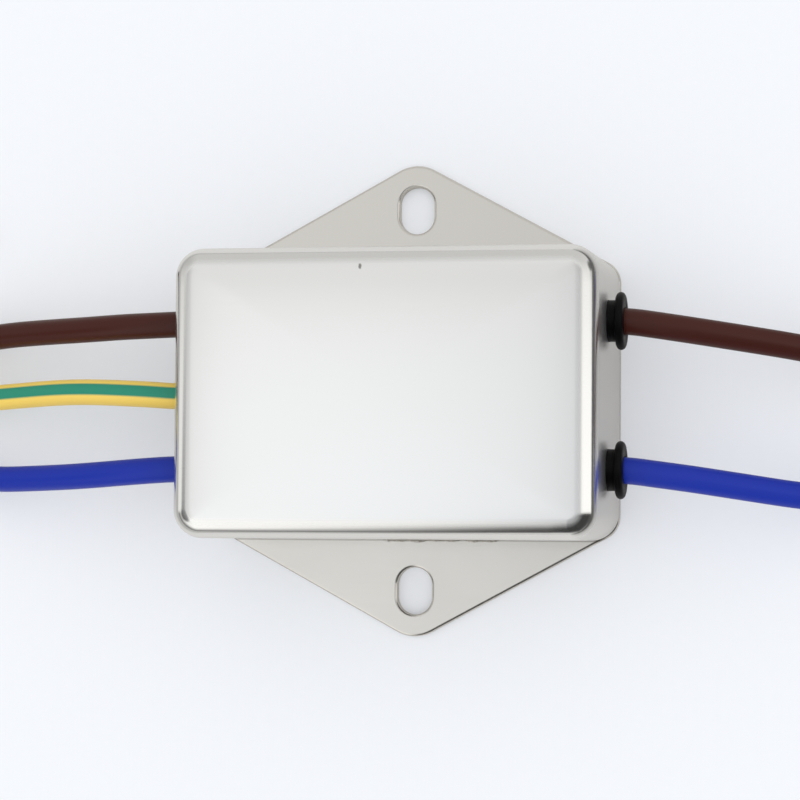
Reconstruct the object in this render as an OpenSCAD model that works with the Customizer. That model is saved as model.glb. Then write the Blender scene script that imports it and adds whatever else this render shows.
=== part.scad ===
// Line filter for chassis mounting, with wire leads.
// X runs along the case, from the three-lead end to the two-lead end.
// Y runs from one mounting ear to the other, and Z is up from the underside of the base plate.
// All sizes are in millimetres.

/* [Case] */
// Length of the drawn can and of the base plate under it
case_l = 44.5; // [44:0.5:60]
// Width of the drawn can
case_w = 30.2; // [30:0.1:44]
// Height from the underside of the base plate to the top of the can
case_h = 20; // [18:0.5:30]
// Radius of the can's upright corners
case_corner_r = 3; // [2.5:0.1:5]
// Radius of the bend round the can's top
case_edge_r = 2.2; // [1:0.1:2.4]
// Thickness of the can's sheet
sheet_t = 0.5; // [0.3:0.1:0.8]

/* [Base plate] */
// Thickness of the base plate
plate_t = 1; // [0.8:0.1:1.5]
// Distance from the can's long wall to the middle of a mounting slot
slot_offset = 5.55; // [5:0.05:9]
// Width of a mounting slot, along the case
slot_w = 3.8; // [3.2:0.1:4.6]
// Length of a mounting slot, across the case
slot_l = 5.1; // [4.8:0.1:7]
// Metal left between a slot and the tip of its ear
tip_margin = 2.35; // [2:0.05:4]
// Radius of an ear's tip
tip_r = 4; // [3:0.1:5]
// Radius of the plate's four corners under the can
plate_corner_r = 2.6; // [2:0.1:4]

/* [Leads] */
// Outer diameter of a lead's insulation
lead_d = 2.8; // [2.4:0.1:3]
// Diameter of a lead's stranded conductor
conductor_d = 1.2; // [0.8:0.1:1.4]
// Distance between neighbouring lead exits on the three-lead end
lead_gap = 7.75; // [7:0.05:9]
// Height of the lead exits above the underside of the base plate
lead_height = 10.3; // [9:0.1:12]
// Length of bare conductor at a lead's free end
strip_l = 6; // [4:0.5:10]
// Thickness of a cable tie's strap
tie_t = 0.8; // [0.6:0.1:1.2]
// Width of a cable tie's strap
tie_w = 2.5; // [2:0.1:3.5]

/* [Grommets] */
// Diameter of a grommet's outer flange
flange_d = 6.05; // [5.4:0.05:6.8]
// Thickness of the outer flange
flange_t = 0.9; // [0.6:0.1:1.2]
// Diameter of the neck that fills the hole in the wall
neck_d = 4.35; // [3.8:0.05:5]
// Length of neck that shows between the wall and the outer flange on the two-lead end
neck_show = 0.85; // [0:0.05:1.2]
// The same length on the three-lead end, where the grommets sit closer to the wall
line_neck_show = 0.4; // [0:0.05:1.2]
// Diameter of the flange inside the wall
inner_flange_d = 5.6; // [5.2:0.1:6.2]
// Thickness of the flange inside the wall
inner_flange_t = 0.8; // [0.5:0.1:1]

/* [Circuit board] */
// Thickness of the insulating card on the base plate
card_t = 0.4; // [0.2:0.1:0.6]
// Height of the spacers between the card and the board
spacer_h = 1.3; // [1.2:0.1:1.6]
// Thickness of the circuit board
board_t = 1.2; // [0.8:0.1:1.6]

/* [Choke] */
// Outer diameter of the ferrite ring
core_od = 13; // [12:0.5:14]
// Inner diameter of the ferrite ring
core_id = 7.4; // [7:0.2:8]
// Height of the ferrite ring
core_h = 6; // [4:0.5:7]
// Diameter of the winding wire
coil_wire_d = 0.8; // [0.5:0.05:0.8]
// Turns in each of the two windings
coil_turns = 8; // [4:1:8]

/* [Capacitors] */
// Length of the film capacitor, across the case
film_l = 18; // [17:0.5:20]
// Thickness of the film capacitor, along the case
film_w = 6; // [5:0.5:7]
// Height of the film capacitor
film_h = 11; // [8:0.5:11]
// Diameter of a disc capacitor
disc_d = 8; // [6:0.5:9]
// Thickness of a disc capacitor
disc_t = 3.2; // [2.5:0.1:3.4]

/* [Hidden] */

$fn = 64;

// Clearances between pieces that pass through or stand beside each other
hole_clear = 0.05;
pin_clear = 0.15;
card_clear = 0.6;
board_clear = 0.9;
end_clear = 1.1;

// Levels, from the underside of the base plate
card_top = plate_t + card_t;
board_bottom = card_top + spacer_h;
board_top = board_bottom + board_t;
pin_end = board_bottom - 0.9;

// Mounting slots
slot_y = case_w / 2 + slot_offset;
tip_y = slot_y + slot_l / 2 + tip_margin;

// Case interior
inner_l = case_l - 2 * sheet_t;
inner_w = case_w - 2 * sheet_t;
board_l = inner_l - 2 * (inner_flange_t + end_clear);
board_w = inner_w - 2 * board_clear;
board_corner_r = 2;
card_l = inner_l - 2 * card_clear;
card_w = inner_w - 2 * card_clear;

// Leads: the ends of the case are numbered by the sign of X
line_end = -1;
load_end = 1;
lead_r = lead_d / 2;
conductor_r = conductor_d / 2;
pad_inset = 6.95;
pad_x = case_l / 2 - pad_inset;
stub_gap = 0.8;
stub_l = 1;
bend_r = min(2 * lead_d, lead_height - board_top - stub_gap - stub_l);
lead_sides = 8;

// Parts on the board
core_lift = 1.6;
core_z = board_top + core_lift + core_h / 2;
coil_gap = 0.05;
ring_mid_r = (core_od + core_id) / 4;
coil_half_w = (core_od - core_id) / 4 + coil_wire_d / 2 + coil_gap;
coil_half_h = core_h / 2 + coil_wire_d / 2 + coil_gap;
coil_span = 136;
coil_squareness = 6;
coil_steps = 12;
coil_sides = 6;
film_x = line_end * (pad_x - 5.9);
film_pitch = 15;
choke_x = (film_x + film_w / 2 + pad_x - lead_r) / 2;
film_pin_d = 0.7;
disc_y = board_w / 2 - disc_t / 2 - 0.4;
disc_lift = 1.2;
disc_pitch = 5;
disc_pin_d = 0.6;
resistor_x = pad_x + 1.8;
resistor_l = 6.3;
resistor_d = 2.4;
resistor_pitch = 9.2;
resistor_pin_d = 0.6;
lug_x = line_end * (pad_x - 4.2);
lug_clear = 1.8;
lug_y = film_l / 2 + lug_clear;
lug_w = 3;
lug_foot = 3.4;
lug_t = 0.5;
lug_above = 1.5;
spacer_d = 3;
spacer_x = board_l / 2 - 1.9;
spacer_y = board_w / 2 - 2.3;

// Routes of the leads outside the case. Each point holds the distance out from the end wall,
// the share of the lead's own row offset that is kept, the distance across the case,
// the share of the drop from the exit to the bench still to come, and 1 where a tie lifts the lead.
line_brown_route = [
  [0, 1, 0, 1, 0], [2, 1, 0, 1, 0], [4, 1, -0.1, 1, 0], [8, 1, -0.2, 0.97, 0], [12, 1, -0.4, 0.87, 0],
  [16, 1, -0.5, 0.73, 0], [20, 1, -0.6, 0.56, 0], [24, 1, -0.8, 0.39, 0], [28, 0.9, -0.6, 0.24, 0],
  [32, 0.65, 0.2, 0.12, 0], [36, 0.35, 0.8, 0.04, 0.2], [40, 0.1, 1.2, 0, 0.7], [44, 0, 1.5, 0, 1],
  [48, 0, 1.5, 0, 1], [51, 0, 1.6, 0, 0.5], [54.2, 0, 2.6, 0, 0], [57.4, 0, 5.8, 0, 0],
  [58.5, 0, 10, 0, 0], [57.4, 0, 14.2, 0, 0], [54.2, 0, 17.4, 0, 0], [50, 0, 18.5, 0, 0],
  [45, 0, 18.5, 0, 0], [39, 0, 18.5, 0, 0], [33, 0, 18.5, 0, 0]];
line_earth_route = [
  [0, 1, 0, 1, 0], [2, 1, 0, 1, 0], [4, 1, 0.2, 1, 0], [8, 1, 0.4, 0.97, 0], [12, 1, 0.6, 0.87, 0],
  [16, 1, 0.6, 0.73, 0], [20, 1, 0.4, 0.56, 0], [24, 1, 0.2, 0.39, 0], [28, 1, -0.1, 0.24, 0],
  [32, 1, -0.5, 0.12, 0], [36, 1, -0.9, 0.04, 0.2], [40, 1, -1.3, 0, 0.7], [44, 1, -1.5, 0, 1],
  [48, 1, -1.5, 0, 1], [52, 1, -1.3, 0, 0.4], [55.8, 1, 0, 0, 0], [60, 1, 4.2, 0, 0],
  [61.5, 1, 10, 0, 0], [60, 1, 15.8, 0, 0], [55.8, 1, 20, 0, 0], [50, 1, 21.5, 0, 0],
  [45.5, 1, 21.5, 0, 0], [41.5, 1, 21.5, 0, 0]];
line_blue_route = [
  [0, 1, 0, 1, 0], [2, 1, 0, 1, 0], [4, 1, -0.1, 1, 0], [8, 1, -0.4, 0.97, 0], [12, 1, -0.7, 0.87, 0],
  [16, 1, -0.9, 0.73, 0], [20, 1, -1, 0.56, 0], [24, 1, -1.1, 0.39, 0], [28, 0.9, -1.4, 0.24, 0],
  [32, 0.65, -2.5, 0.12, 0], [36, 0.35, -3.4, 0.04, 0.2], [40, 0.1, -4, 0, 0.7], [44, 0, -4.5, 0, 1],
  [48, 0, -4.5, 0, 1], [52, 0, -4.3, 0, 0.4], [57.2, 0, -2.6, 0, 0], [62.6, 0, 2.8, 0, 0],
  [64.5, 0, 10, 0, 0], [62.6, 0, 17.2, 0, 0], [60.6, 0, 20.4, 0, 0], [57.6, 0, 22.8, 0, 0],
  [54, 0, 24.2, 0, 0], [50.5, 0, 24.5, 0, 0]];
load_brown_route = [
  [0, 1, 0, 1, 0], [2, 1, 0, 1, 0], [4, 1, -0.3, 1, 0], [8, 1, -0.9, 0.97, 0], [12, 1, -1.5, 0.87, 0],
  [16, 1, -2.1, 0.73, 0], [20, 1, -2.7, 0.56, 0], [24, 0.9, -2.8, 0.39, 0], [28, 0.7, -2.5, 0.24, 0],
  [32, 0.45, -2.5, 0.12, 0], [36, 0.25, -3, 0.04, 0.2], [40, 0.1, -3.7, 0, 0.7], [44, 0, -3.5, 0, 1],
  [48, 0, -3.5, 0, 1], [51, 0, -3.4, 0, 0.5], [54.2, 0, -2.4, 0, 0], [57.4, 0, 0.8, 0, 0],
  [58.5, 0, 5, 0, 0], [57.4, 0, 9.2, 0, 0], [54.2, 0, 12.4, 0, 0], [50, 0, 13.5, 0, 0],
  [45, 0, 13.5, 0, 0], [40, 0, 13.5, 0, 0], [35, 0, 13.5, 0, 0]];
load_blue_route = [
  [0, 1, 0, 1, 0], [2, 1, 0, 1, 0], [4, 1, -0.3, 1, 0], [8, 1, -0.8, 0.97, 0], [12, 1, -1.4, 0.87, 0],
  [16, 1, -2, 0.73, 0], [20, 1, -2.6, 0.56, 0], [24, 0.9, -3.6, 0.39, 0], [28, 0.7, -4.9, 0.24, 0],
  [32, 0.45, -6, 0.12, 0], [36, 0.25, -6.4, 0.04, 0.2], [40, 0.1, -6.1, 0, 0.7], [44, 0, -6.5, 0, 1],
  [48, 0, -6.5, 0, 1], [52, 0, -6.3, 0, 0.4], [55.8, 0, -5, 0, 0], [60, 0, -0.8, 0, 0],
  [61.5, 0, 5, 0, 0], [60, 0, 10.8, 0, 0], [55.8, 0, 15, 0, 0], [50, 0, 16.5, 0, 0],
  [46, 0, 16.5, 0, 0], [42, 0, 16.5, 0, 0]];
tie_out = 46;
lane_pitch = 3;

// ---- Outlines and shells ----

// A flat section with one rounded upper corner, away from the origin
module wall_section(depth, height, edge_r) {
  square([depth, height - edge_r]);
  square([depth - edge_r, height]);
  translate([depth - edge_r, height - edge_r])
    intersection() {
      circle(r = edge_r);
      square(edge_r);
    }
}

// A solid block with round upright corners and a round bend along its top
module drawn_block(length, width, height, corner_r, edge_r) {
  straight_l = length - 2 * corner_r;
  straight_w = width - 2 * corner_r;
  translate([-straight_l / 2, -straight_w / 2, 0])
    cube([straight_l, straight_w, height]);
  for (turn = [0, 180]) {
    rotate([0, 0, turn])
      translate([-straight_l / 2, straight_w / 2, 0])
        rotate([90, 0, 90])
          linear_extrude(straight_l)
            wall_section(corner_r, height, edge_r);
    rotate([0, 0, turn])
      translate([straight_l / 2, straight_w / 2, 0])
        rotate([90, 0, 0])
          linear_extrude(straight_w)
            wall_section(corner_r, height, edge_r);
  }
  for (side_x = [-1, 1], side_y = [-1, 1])
    translate([side_x * straight_l / 2, side_y * straight_w / 2, 0])
      rotate_extrude()
        wall_section(corner_r, height, edge_r);
}

// A flat sheet outline with round corners
module rounded_sheet(length, width, corner_r) {
  square([length - 2 * corner_r, width], center = true);
  square([length, width - 2 * corner_r], center = true);
  for (side_x = [-1, 1], side_y = [-1, 1])
    translate([side_x * (length / 2 - corner_r), side_y * (width / 2 - corner_r)])
      circle(r = corner_r);
}

// The slope of the line that touches a corner circle and the tip circle from outside
function ear_slope(corner, tip) =
  atan2(tip[1] - corner[1], corner[0]) + asin((tip_r - plate_corner_r) / norm(tip - corner));

// The plate's outline: six arcs joined by the lines that touch them
module plate_outline() {
  corner = [case_l / 2 - plate_corner_r, case_w / 2 - plate_corner_r];
  tip = [0, tip_y - tip_r];
  slope = ear_slope(corner, tip);
  out = [sin(slope), cos(slope)];
  quarter = [[case_l / 2, corner[1]], corner + plate_corner_r * out, tip + tip_r * out];
  polygon([
    for (p = quarter) p,
    for (i = [2:-1:0]) [-quarter[i][0], quarter[i][1]],
    for (p = quarter) -p,
    for (i = [2:-1:0]) [quarter[i][0], -quarter[i][1]]
  ]);
  for (side_x = [-1, 1], side_y = [-1, 1])
    translate([side_x * corner[0], side_y * corner[1]])
      circle(r = plate_corner_r);
  for (side_y = [-1, 1])
    translate([0, side_y * tip[1]])
      circle(r = tip_r);
}

// ---- Tubes along a path ----

// One ring of points round a path's point, square to the path and turned to face across
function ring(path, i, across, r, sides) =
  let (
    a = path[max(i - 1, 0)],
    b = path[min(i + 1, len(path) - 1)],
    along = (b - a) / norm(b - a),
    level = across - (across * along) * along,
    side = level / norm(level),
    over = cross(along, side)
  )
  [for (k = [0:sides - 1])
    path[i] + r * (cos(k * 360 / sides) * side + sin(k * 360 / sides) * over)];

// The faces of a tube: both ends and the quadrilaterals between neighbouring rings
function tube_faces(rings, sides) = concat(
  [[for (k = [0:sides - 1]) k]],
  [for (i = [0:rings - 2], k = [0:sides - 1])
    [i * sides + k, (i + 1) * sides + k, (i + 1) * sides + (k + 1) % sides, i * sides + (k + 1) % sides]],
  [[for (k = [sides - 1:-1:0]) (rings - 1) * sides + k]]
);

// A closed tube along a path, with the direction across it given at each point
module swept_tube(path, across, r, sides) {
  rings = len(path);
  points = [for (i = [0:rings - 1]) each ring(path, i, across[i], r, sides)];
  polyhedron(points = points, faces = tube_faces(rings, sides), convexity = 6);
}

// ---- Case ----

// Places its children on the outer face of an end wall, with their Z axis pointing out of the case
module at_exit(end, row) {
  translate([end * case_l / 2, row * lead_gap, lead_height])
    rotate([0, end * 90, 0])
      children();
}

// Deep-drawn can: closed top, open bottom, five wire holes
module case() {
  color([0.86, 0.86, 0.84])
    translate([0, 0, plate_t])
      difference() {
        drawn_block(case_l, case_w, case_h - plate_t, case_corner_r, case_edge_r);
        translate([0, 0, -sheet_t])
          drawn_block(inner_l, inner_w, case_h - plate_t,
            case_corner_r - sheet_t, case_edge_r - sheet_t);
        translate([0, 0, -plate_t]) {
          for (row = [-1, 0, 1])
            at_exit(line_end, row)
              wire_hole();
          for (row = [-1, 1])
            at_exit(load_end, row)
              wire_hole();
        }
      }
}

// The round hole that a grommet's neck fills
module wire_hole() {
  translate([0, 0, -3 * sheet_t])
    cylinder(d = neck_d + 2 * hole_clear, h = 4 * sheet_t);
}

// Flat plate that closes the can and carries the two slotted ears
module base_plate() {
  color([0.82, 0.81, 0.78])
    difference() {
      linear_extrude(plate_t)
        plate_outline();
      for (side = [-1, 1])
        translate([0, side * slot_y, -plate_t])
          linear_extrude(3 * plate_t)
            slot_outline();
    }
}

// A mounting slot with square ends of generous radius
module slot_outline() {
  square([slot_w, slot_l - slot_w], center = true);
  for (side = [-1, 1])
    translate([0, side * (slot_l - slot_w) / 2])
      circle(d = slot_w);
}

// Solder run into the corner between the can's long walls and the plate
module seam_solder() {
  bead_l = 13;
  bead_leg = 0.4;
  bead_x = 3;
  color([0.78, 0.78, 0.77])
    for (side = [0, 1])
      mirror([0, side, 0])
        translate([bead_x - bead_l / 2, case_w / 2, plate_t])
          rotate([90, 0, 90])
            linear_extrude(bead_l)
              polygon([[0, 0], [bead_leg, 0], [0, bead_leg]]);
}

// Fish-paper card between the plate and the board, cut away for the earth lug
module insulation_card() {
  color([0.55, 0.6, 0.55])
    translate([0, 0, plate_t])
      linear_extrude(card_t)
        difference() {
          rounded_sheet(card_l, card_w, board_corner_r);
          translate([lug_x, lug_y + (lug_t - lug_foot) / 2])
            square(lug_foot + 2 * card_clear, center = true);
        }
}

// Four nylon posts that keep the joints off the card
module board_spacers() {
  color([0.9, 0.89, 0.84])
    for (side_x = [-1, 1], side_y = [-1, 1])
      translate([side_x * spacer_x, side_y * spacer_y, card_top])
        cylinder(d = spacer_d, h = spacer_h);
}

// ---- Board ----

// Each pad: its place on the board and the diameter of the pin through it
lead_pads = [for (row = [-1, 0, 1]) [line_end * pad_x, row * lead_gap, conductor_d],
  for (row = [-1, 1]) [load_end * pad_x, row * lead_gap, conductor_d]];
film_pads = [for (side = [-1, 1]) [film_x, side * film_pitch / 2, film_pin_d]];
disc_pads = [for (side_x = [-1, 1], side_y = [-1, 1])
  [choke_x + side_x * disc_pitch / 2, side_y * disc_y, disc_pin_d]];
resistor_pads = [for (side = [-1, 1]) [resistor_x, side * resistor_pitch / 2, resistor_pin_d]];
coil_pads = [for (middle = [90, 270], side = [-1, 1])
  [choke_x + (ring_mid_r + coil_half_w) * cos(middle + side * coil_span / 2),
    (ring_mid_r + coil_half_w) * sin(middle + side * coil_span / 2), coil_wire_d]];
pads = concat(lead_pads, film_pads, disc_pads, resistor_pads, coil_pads);

module circuit_board() {
  color([0.62, 0.5, 0.28])
    translate([0, 0, board_bottom])
      linear_extrude(board_t)
        difference() {
          rounded_sheet(board_l, board_w, board_corner_r);
          for (pad = pads)
            translate([pad[0], pad[1]])
              circle(d = pad[2] + 2 * pin_clear);
          translate([lug_x, lug_y])
            square([lug_w + 2 * pin_clear, lug_t + 2 * pin_clear], center = true);
        }
}

// Solder under the board round every pin, and above it round the earth lug
module solder_joints() {
  joint_h = 0.7;
  joint_w = 0.55;
  lug_joint = 0.6;
  color([0.75, 0.76, 0.78]) {
    for (pad = pads)
      translate([pad[0], pad[1], board_bottom - joint_h])
        rotate_extrude()
          polygon([[pad[2] / 2, 0], [pad[2] / 2 + pin_clear, 0],
            [pad[2] / 2 + joint_w, joint_h], [pad[2] / 2, joint_h]]);
    translate([lug_x, lug_y, board_top])
      linear_extrude(lug_joint)
        difference() {
          square([lug_w + 2 * lug_joint, lug_t + 2 * lug_joint], center = true);
          square([lug_w, lug_t], center = true);
        }
  }
}

// Bent tab: its foot is spot-welded to the plate and its upright is soldered into the board
module earth_lug() {
  color([0.8, 0.8, 0.78]) {
    translate([lug_x - lug_foot / 2, lug_y - lug_foot + lug_t / 2, plate_t])
      cube([lug_foot, lug_foot, lug_t]);
    translate([lug_x - lug_w / 2, lug_y - lug_t / 2, plate_t])
      cube([lug_w, lug_t, board_top + lug_above - plate_t]);
  }
}

// ---- Choke ----

// A bar that carries the ring, and the wall that parts the two windings inside it
module choke_divider() {
  bar_w = 1.3;
  wall_t = 1;
  wall_above = 0.8;
  color([0.2, 0.2, 0.22])
    translate([choke_x, 0, board_top]) {
      translate([-core_od / 2 - 0.5, -bar_w / 2, 0])
        cube([core_od + 1, bar_w, core_lift]);
      translate([-core_id / 2, -wall_t / 2, 0])
        intersection() {
          cube([core_id, wall_t, core_lift + core_h + wall_above]);
          translate([core_id / 2, wall_t / 2, 0])
            cylinder(d = core_id, h = core_lift + core_h + wall_above);
        }
    }
}

// Ferrite ring with rounded edges
module choke_core() {
  round_r = 0.6;
  ring_w = (core_od - core_id) / 2;
  color([0.25, 0.26, 0.27])
    translate([choke_x, 0, core_z])
      rotate_extrude()
        translate([ring_mid_r, 0])
          rounded_sheet(ring_w, core_h, round_r);
}

// The signed power that squares a circle's sine or cosine
function squared_off(value) = sign(value) * pow(abs(value), 2 / coil_squareness);

// A point on the winding: the angle round the wire's turn and the angle round the ring
function coil_point(turn, around) =
  let (r = ring_mid_r + coil_half_w * squared_off(cos(turn)))
  [r * cos(around), r * sin(around), core_z + coil_half_h * squared_off(sin(turn))];

// The winding's whole path, from one pad up, round the ring, and down to the other pad
function coil_path(middle) =
  let (
    first = middle - coil_span / 2,
    steps = coil_turns * coil_steps - 2,
    pad_r = ring_mid_r + coil_half_w,
    start = [pad_r * cos(first), pad_r * sin(first)],
    end = [pad_r * cos(first + coil_span), pad_r * sin(first + coil_span)]
  )
  concat(
    [[start[0], start[1], pin_end], [start[0], start[1], board_top]],
    [for (step = [0:steps])
      coil_point(step * 360 / coil_steps, first + coil_span * step / steps)],
    [[end[0], end[1], board_top + 0.4], [end[0], end[1], pin_end]]
  );

module choke_winding(middle) {
  path = coil_path(middle);
  across = [for (p = path) [-p[1], p[0], 0] / norm([p[0], p[1]])];
  color([0.72, 0.35, 0.16])
    translate([choke_x, 0, 0])
      swept_tube(path, across, coil_wire_d / 2, coil_sides);
}

module choke_winding_live() {
  choke_winding(90);
}

module choke_winding_neutral() {
  choke_winding(270);
}

// ---- Capacitors and resistor ----

module x_capacitor() {
  corner_r = 0.5;
  color([0.9, 0.75, 0.2]) {
    translate([film_x, 0, board_top])
      linear_extrude(film_h)
        rounded_sheet(film_w, film_l, corner_r);
    for (pad = film_pads)
      translate([pad[0], pad[1], pin_end])
        cylinder(d = film_pin_d, h = board_top - pin_end);
  }
}

// Dipped disc standing on its two pins
module y_capacitor(side) {
  edge_r = disc_t / 2 - 0.4;
  centre_z = board_top + disc_lift + disc_d / 2;
  color([0.25, 0.45, 0.75])
    translate([choke_x, side * disc_y, 0]) {
      translate([0, 0, centre_z])
        rotate([90, 0, 0])
          rotate_extrude()
            intersection() {
              translate([0, -disc_t / 2])
                square([disc_d / 2, disc_t]);
              rounded_sheet(disc_d, disc_t, edge_r);
            }
      for (pin = [-1, 1])
        translate([pin * disc_pitch / 2, 0, pin_end])
          cylinder(d = disc_pin_d, h = centre_z - pin_end);
    }
}

module y_capacitor_live() {
  y_capacitor(1);
}

module y_capacitor_neutral() {
  y_capacitor(-1);
}

// Axial resistor between the two load leads
module bleed_resistor() {
  centre_z = board_top + resistor_d / 2;
  cap_l = 1.4;
  waist_d = resistor_d - 0.4;
  color([0.55, 0.7, 0.8])
    translate([resistor_x, 0, centre_z]) {
      rotate([90, 0, 0])
        cylinder(d = waist_d, h = resistor_l, center = true);
      for (side = [-1, 1]) {
        translate([0, side * (resistor_l - cap_l) / 2, 0])
          rotate([90, 0, 0])
            cylinder(d = resistor_d, h = cap_l, center = true);
        translate([0, side * (resistor_l + resistor_pitch) / 4, 0])
          rotate([90, 0, 0])
            cylinder(d = resistor_pin_d, h = (resistor_pitch - resistor_l) / 2, center = true);
        translate([0, side * resistor_pitch / 2, 0])
          sphere(d = resistor_pin_d);
        translate([0, side * resistor_pitch / 2, pin_end - centre_z])
          cylinder(d = resistor_pin_d, h = centre_z - pin_end);
      }
    }
}

// ---- Grommets ----

// Rubber grommet: inner flange, neck through the wall, outer flange with a full round rim
module grommet(end, row) {
  show = end == line_end ? line_neck_show : neck_show;
  rim_r = flange_t / 2;
  inner_rim_r = inner_flange_t / 2;
  color([0.06, 0.06, 0.07])
    at_exit(end, row)
      rotate_extrude() {
        translate([lead_r, -sheet_t - inner_flange_t])
          square([neck_d / 2 - lead_r, inner_flange_t + sheet_t + show + flange_t]);
        translate([lead_r, show])
          square([flange_d / 2 - rim_r - lead_r, flange_t]);
        translate([flange_d / 2 - rim_r, show + rim_r])
          circle(r = rim_r);
        translate([lead_r, -sheet_t - inner_flange_t])
          square([inner_flange_d / 2 - inner_rim_r - lead_r, inner_flange_t]);
        translate([inner_flange_d / 2 - inner_rim_r, -sheet_t - inner_rim_r])
          circle(r = inner_rim_r);
      }
}

module grommet_line_brown() {
  grommet(line_end, 1);
}

module grommet_line_earth() {
  grommet(line_end, 0);
}

module grommet_line_blue() {
  grommet(line_end, -1);
}

module grommet_load_brown() {
  grommet(load_end, 1);
}

module grommet_load_blue() {
  grommet(load_end, -1);
}

// ---- Leads ----

// The direction across a path in plan at one of its points, or the given one where it is upright
function across_in_plan(path, i, upright) =
  let (
    a = path[max(i - 1, 0)],
    b = path[min(i + 1, len(path) - 1)],
    flat = [a[1] - b[1], b[0] - a[0], 0]
  )
  norm(flat) > 0.01 ? flat / norm(flat) : upright;

// The part of a lead inside the case: up from the board and round to the exit
function inside_path(end, row) =
  let (
    y = row * lead_gap,
    bend_x = case_l / 2 - pad_inset + bend_r,
    bend_z = lead_height - bend_r
  )
  concat(
    [[end * pad_x, y, board_top + stub_gap]],
    [for (turn = [180:-30:90])
      [end * (bend_x + bend_r * cos(turn)), y, bend_z + bend_r * sin(turn)]]
  );

// The part of a lead outside the case, from its route
function outside_path(end, row, route) =
  [for (p = route)
    [end * (case_l / 2 + p[0]), row * lead_gap * p[1] + p[2],
      lead_r + (lead_height - lead_r) * p[3] + tie_t * p[4]]];

module lead(end, row, route, tint) {
  path = concat(inside_path(end, row), outside_path(end, row, route));
  across = [for (i = [0:len(path) - 1]) across_in_plan(path, i, [0, end, 0])];
  color(tint)
    swept_tube(path, across, lead_r, lead_sides);
}

// The bare ends of a lead's conductor: one in the board, one at the free end
module conductor(end, row, route) {
  path = outside_path(end, row, route);
  last = path[len(path) - 1];
  back = last - path[len(path) - 2];
  color([0.8, 0.8, 0.8]) {
    translate([end * pad_x, row * lead_gap, pin_end])
      cylinder(r = conductor_r, h = board_top + stub_gap - pin_end);
    translate(last)
      rotate([0, 90, atan2(back[1], back[0])])
        cylinder(r = conductor_r, h = strip_l);
  }
}

module lead_line_brown() {
  lead(line_end, 1, line_brown_route, [0.3, 0.16, 0.13]);
}

module lead_line_earth() {
  lead(line_end, 0, line_earth_route, [0.93, 0.82, 0.35]);
}

module lead_line_blue() {
  lead(line_end, -1, line_blue_route, [0.12, 0.2, 0.6]);
}

module lead_load_brown() {
  lead(load_end, 1, load_brown_route, [0.3, 0.16, 0.13]);
}

module lead_load_blue() {
  lead(load_end, -1, load_blue_route, [0.12, 0.2, 0.6]);
}

module conductor_line_brown() {
  conductor(line_end, 1, line_brown_route);
}

module conductor_line_earth() {
  conductor(line_end, 0, line_earth_route);
}

module conductor_line_blue() {
  conductor(line_end, -1, line_blue_route);
}

module conductor_load_brown() {
  conductor(load_end, 1, load_brown_route);
}

module conductor_load_blue() {
  conductor(load_end, -1, load_blue_route);
}

// ---- Cable ties ----

// Flat strap round leads lying side by side, with its head on top
module cable_tie(end, middle_y, lanes) {
  head = [3.6, 3.2, 2];
  color([0.93, 0.93, 0.9])
    translate([end * (case_l / 2 + tie_out), middle_y, lead_r + tie_t]) {
      rotate([90, 0, 90])
        linear_extrude(tie_w, center = true)
          difference() {
            strap_outline(lanes, lead_r + tie_t);
            strap_outline(lanes, lead_r);
          }
      translate([-head[0] / 2, -head[1] / 2, lead_r + tie_t / 2])
        cube(head);
    }
}

// Outline round leads lying side by side
module strap_outline(lanes, r) {
  reach = (lanes - 1) * lane_pitch / 2;
  square([2 * reach, 2 * r], center = true);
  for (side = [-1, 1])
    translate([side * reach, 0])
      circle(r = r);
}

module tie_line() {
  cable_tie(line_end, -1.5, 3);
}

module tie_load() {
  cable_tie(load_end, -5, 2);
}

case();
base_plate();
seam_solder();
insulation_card();
board_spacers();
circuit_board();
solder_joints();
earth_lug();
choke_divider();
choke_core();
choke_winding_live();
choke_winding_neutral();
x_capacitor();
y_capacitor_live();
y_capacitor_neutral();
bleed_resistor();
grommet_line_brown();
grommet_line_earth();
grommet_line_blue();
grommet_load_brown();
grommet_load_blue();
lead_line_brown();
lead_line_earth();
lead_line_blue();
lead_load_brown();
lead_load_blue();
conductor_line_brown();
conductor_line_earth();
conductor_line_blue();
conductor_load_brown();
conductor_load_blue();
tie_line();
tie_load();
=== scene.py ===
# %% [markdown]
# # A mains line filter in a drawn steel can
# The object is a small filter that is screwed to a chassis. Its can is drawn from thin plated steel and
# closed by a flat base plate, whose two pointed ears carry the mounting slots. Three leads leave one end
# through rubber grommets, and two leave the other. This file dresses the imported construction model: it
# keeps every size and place, and adds the finish of each surface.
# All lengths are in metres. X runs along the can, Y from ear to ear, and Z is up.

import bpy
import math
import numpy as np
from mathutils import Matrix, Vector, geometry


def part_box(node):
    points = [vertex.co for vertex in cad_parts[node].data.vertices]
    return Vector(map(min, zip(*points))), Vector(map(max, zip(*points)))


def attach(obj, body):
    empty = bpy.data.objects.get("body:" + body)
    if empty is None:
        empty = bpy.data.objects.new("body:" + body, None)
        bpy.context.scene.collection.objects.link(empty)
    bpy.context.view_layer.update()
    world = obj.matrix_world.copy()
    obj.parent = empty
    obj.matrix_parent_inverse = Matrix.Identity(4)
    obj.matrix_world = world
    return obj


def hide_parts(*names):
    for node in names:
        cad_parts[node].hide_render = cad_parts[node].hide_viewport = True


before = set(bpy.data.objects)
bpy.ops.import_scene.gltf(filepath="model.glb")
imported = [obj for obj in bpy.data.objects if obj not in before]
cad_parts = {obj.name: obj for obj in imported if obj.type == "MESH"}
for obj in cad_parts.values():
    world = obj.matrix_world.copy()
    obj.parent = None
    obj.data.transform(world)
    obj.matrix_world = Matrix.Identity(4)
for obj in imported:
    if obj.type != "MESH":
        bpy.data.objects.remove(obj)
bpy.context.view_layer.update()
MM = 0.001
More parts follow.
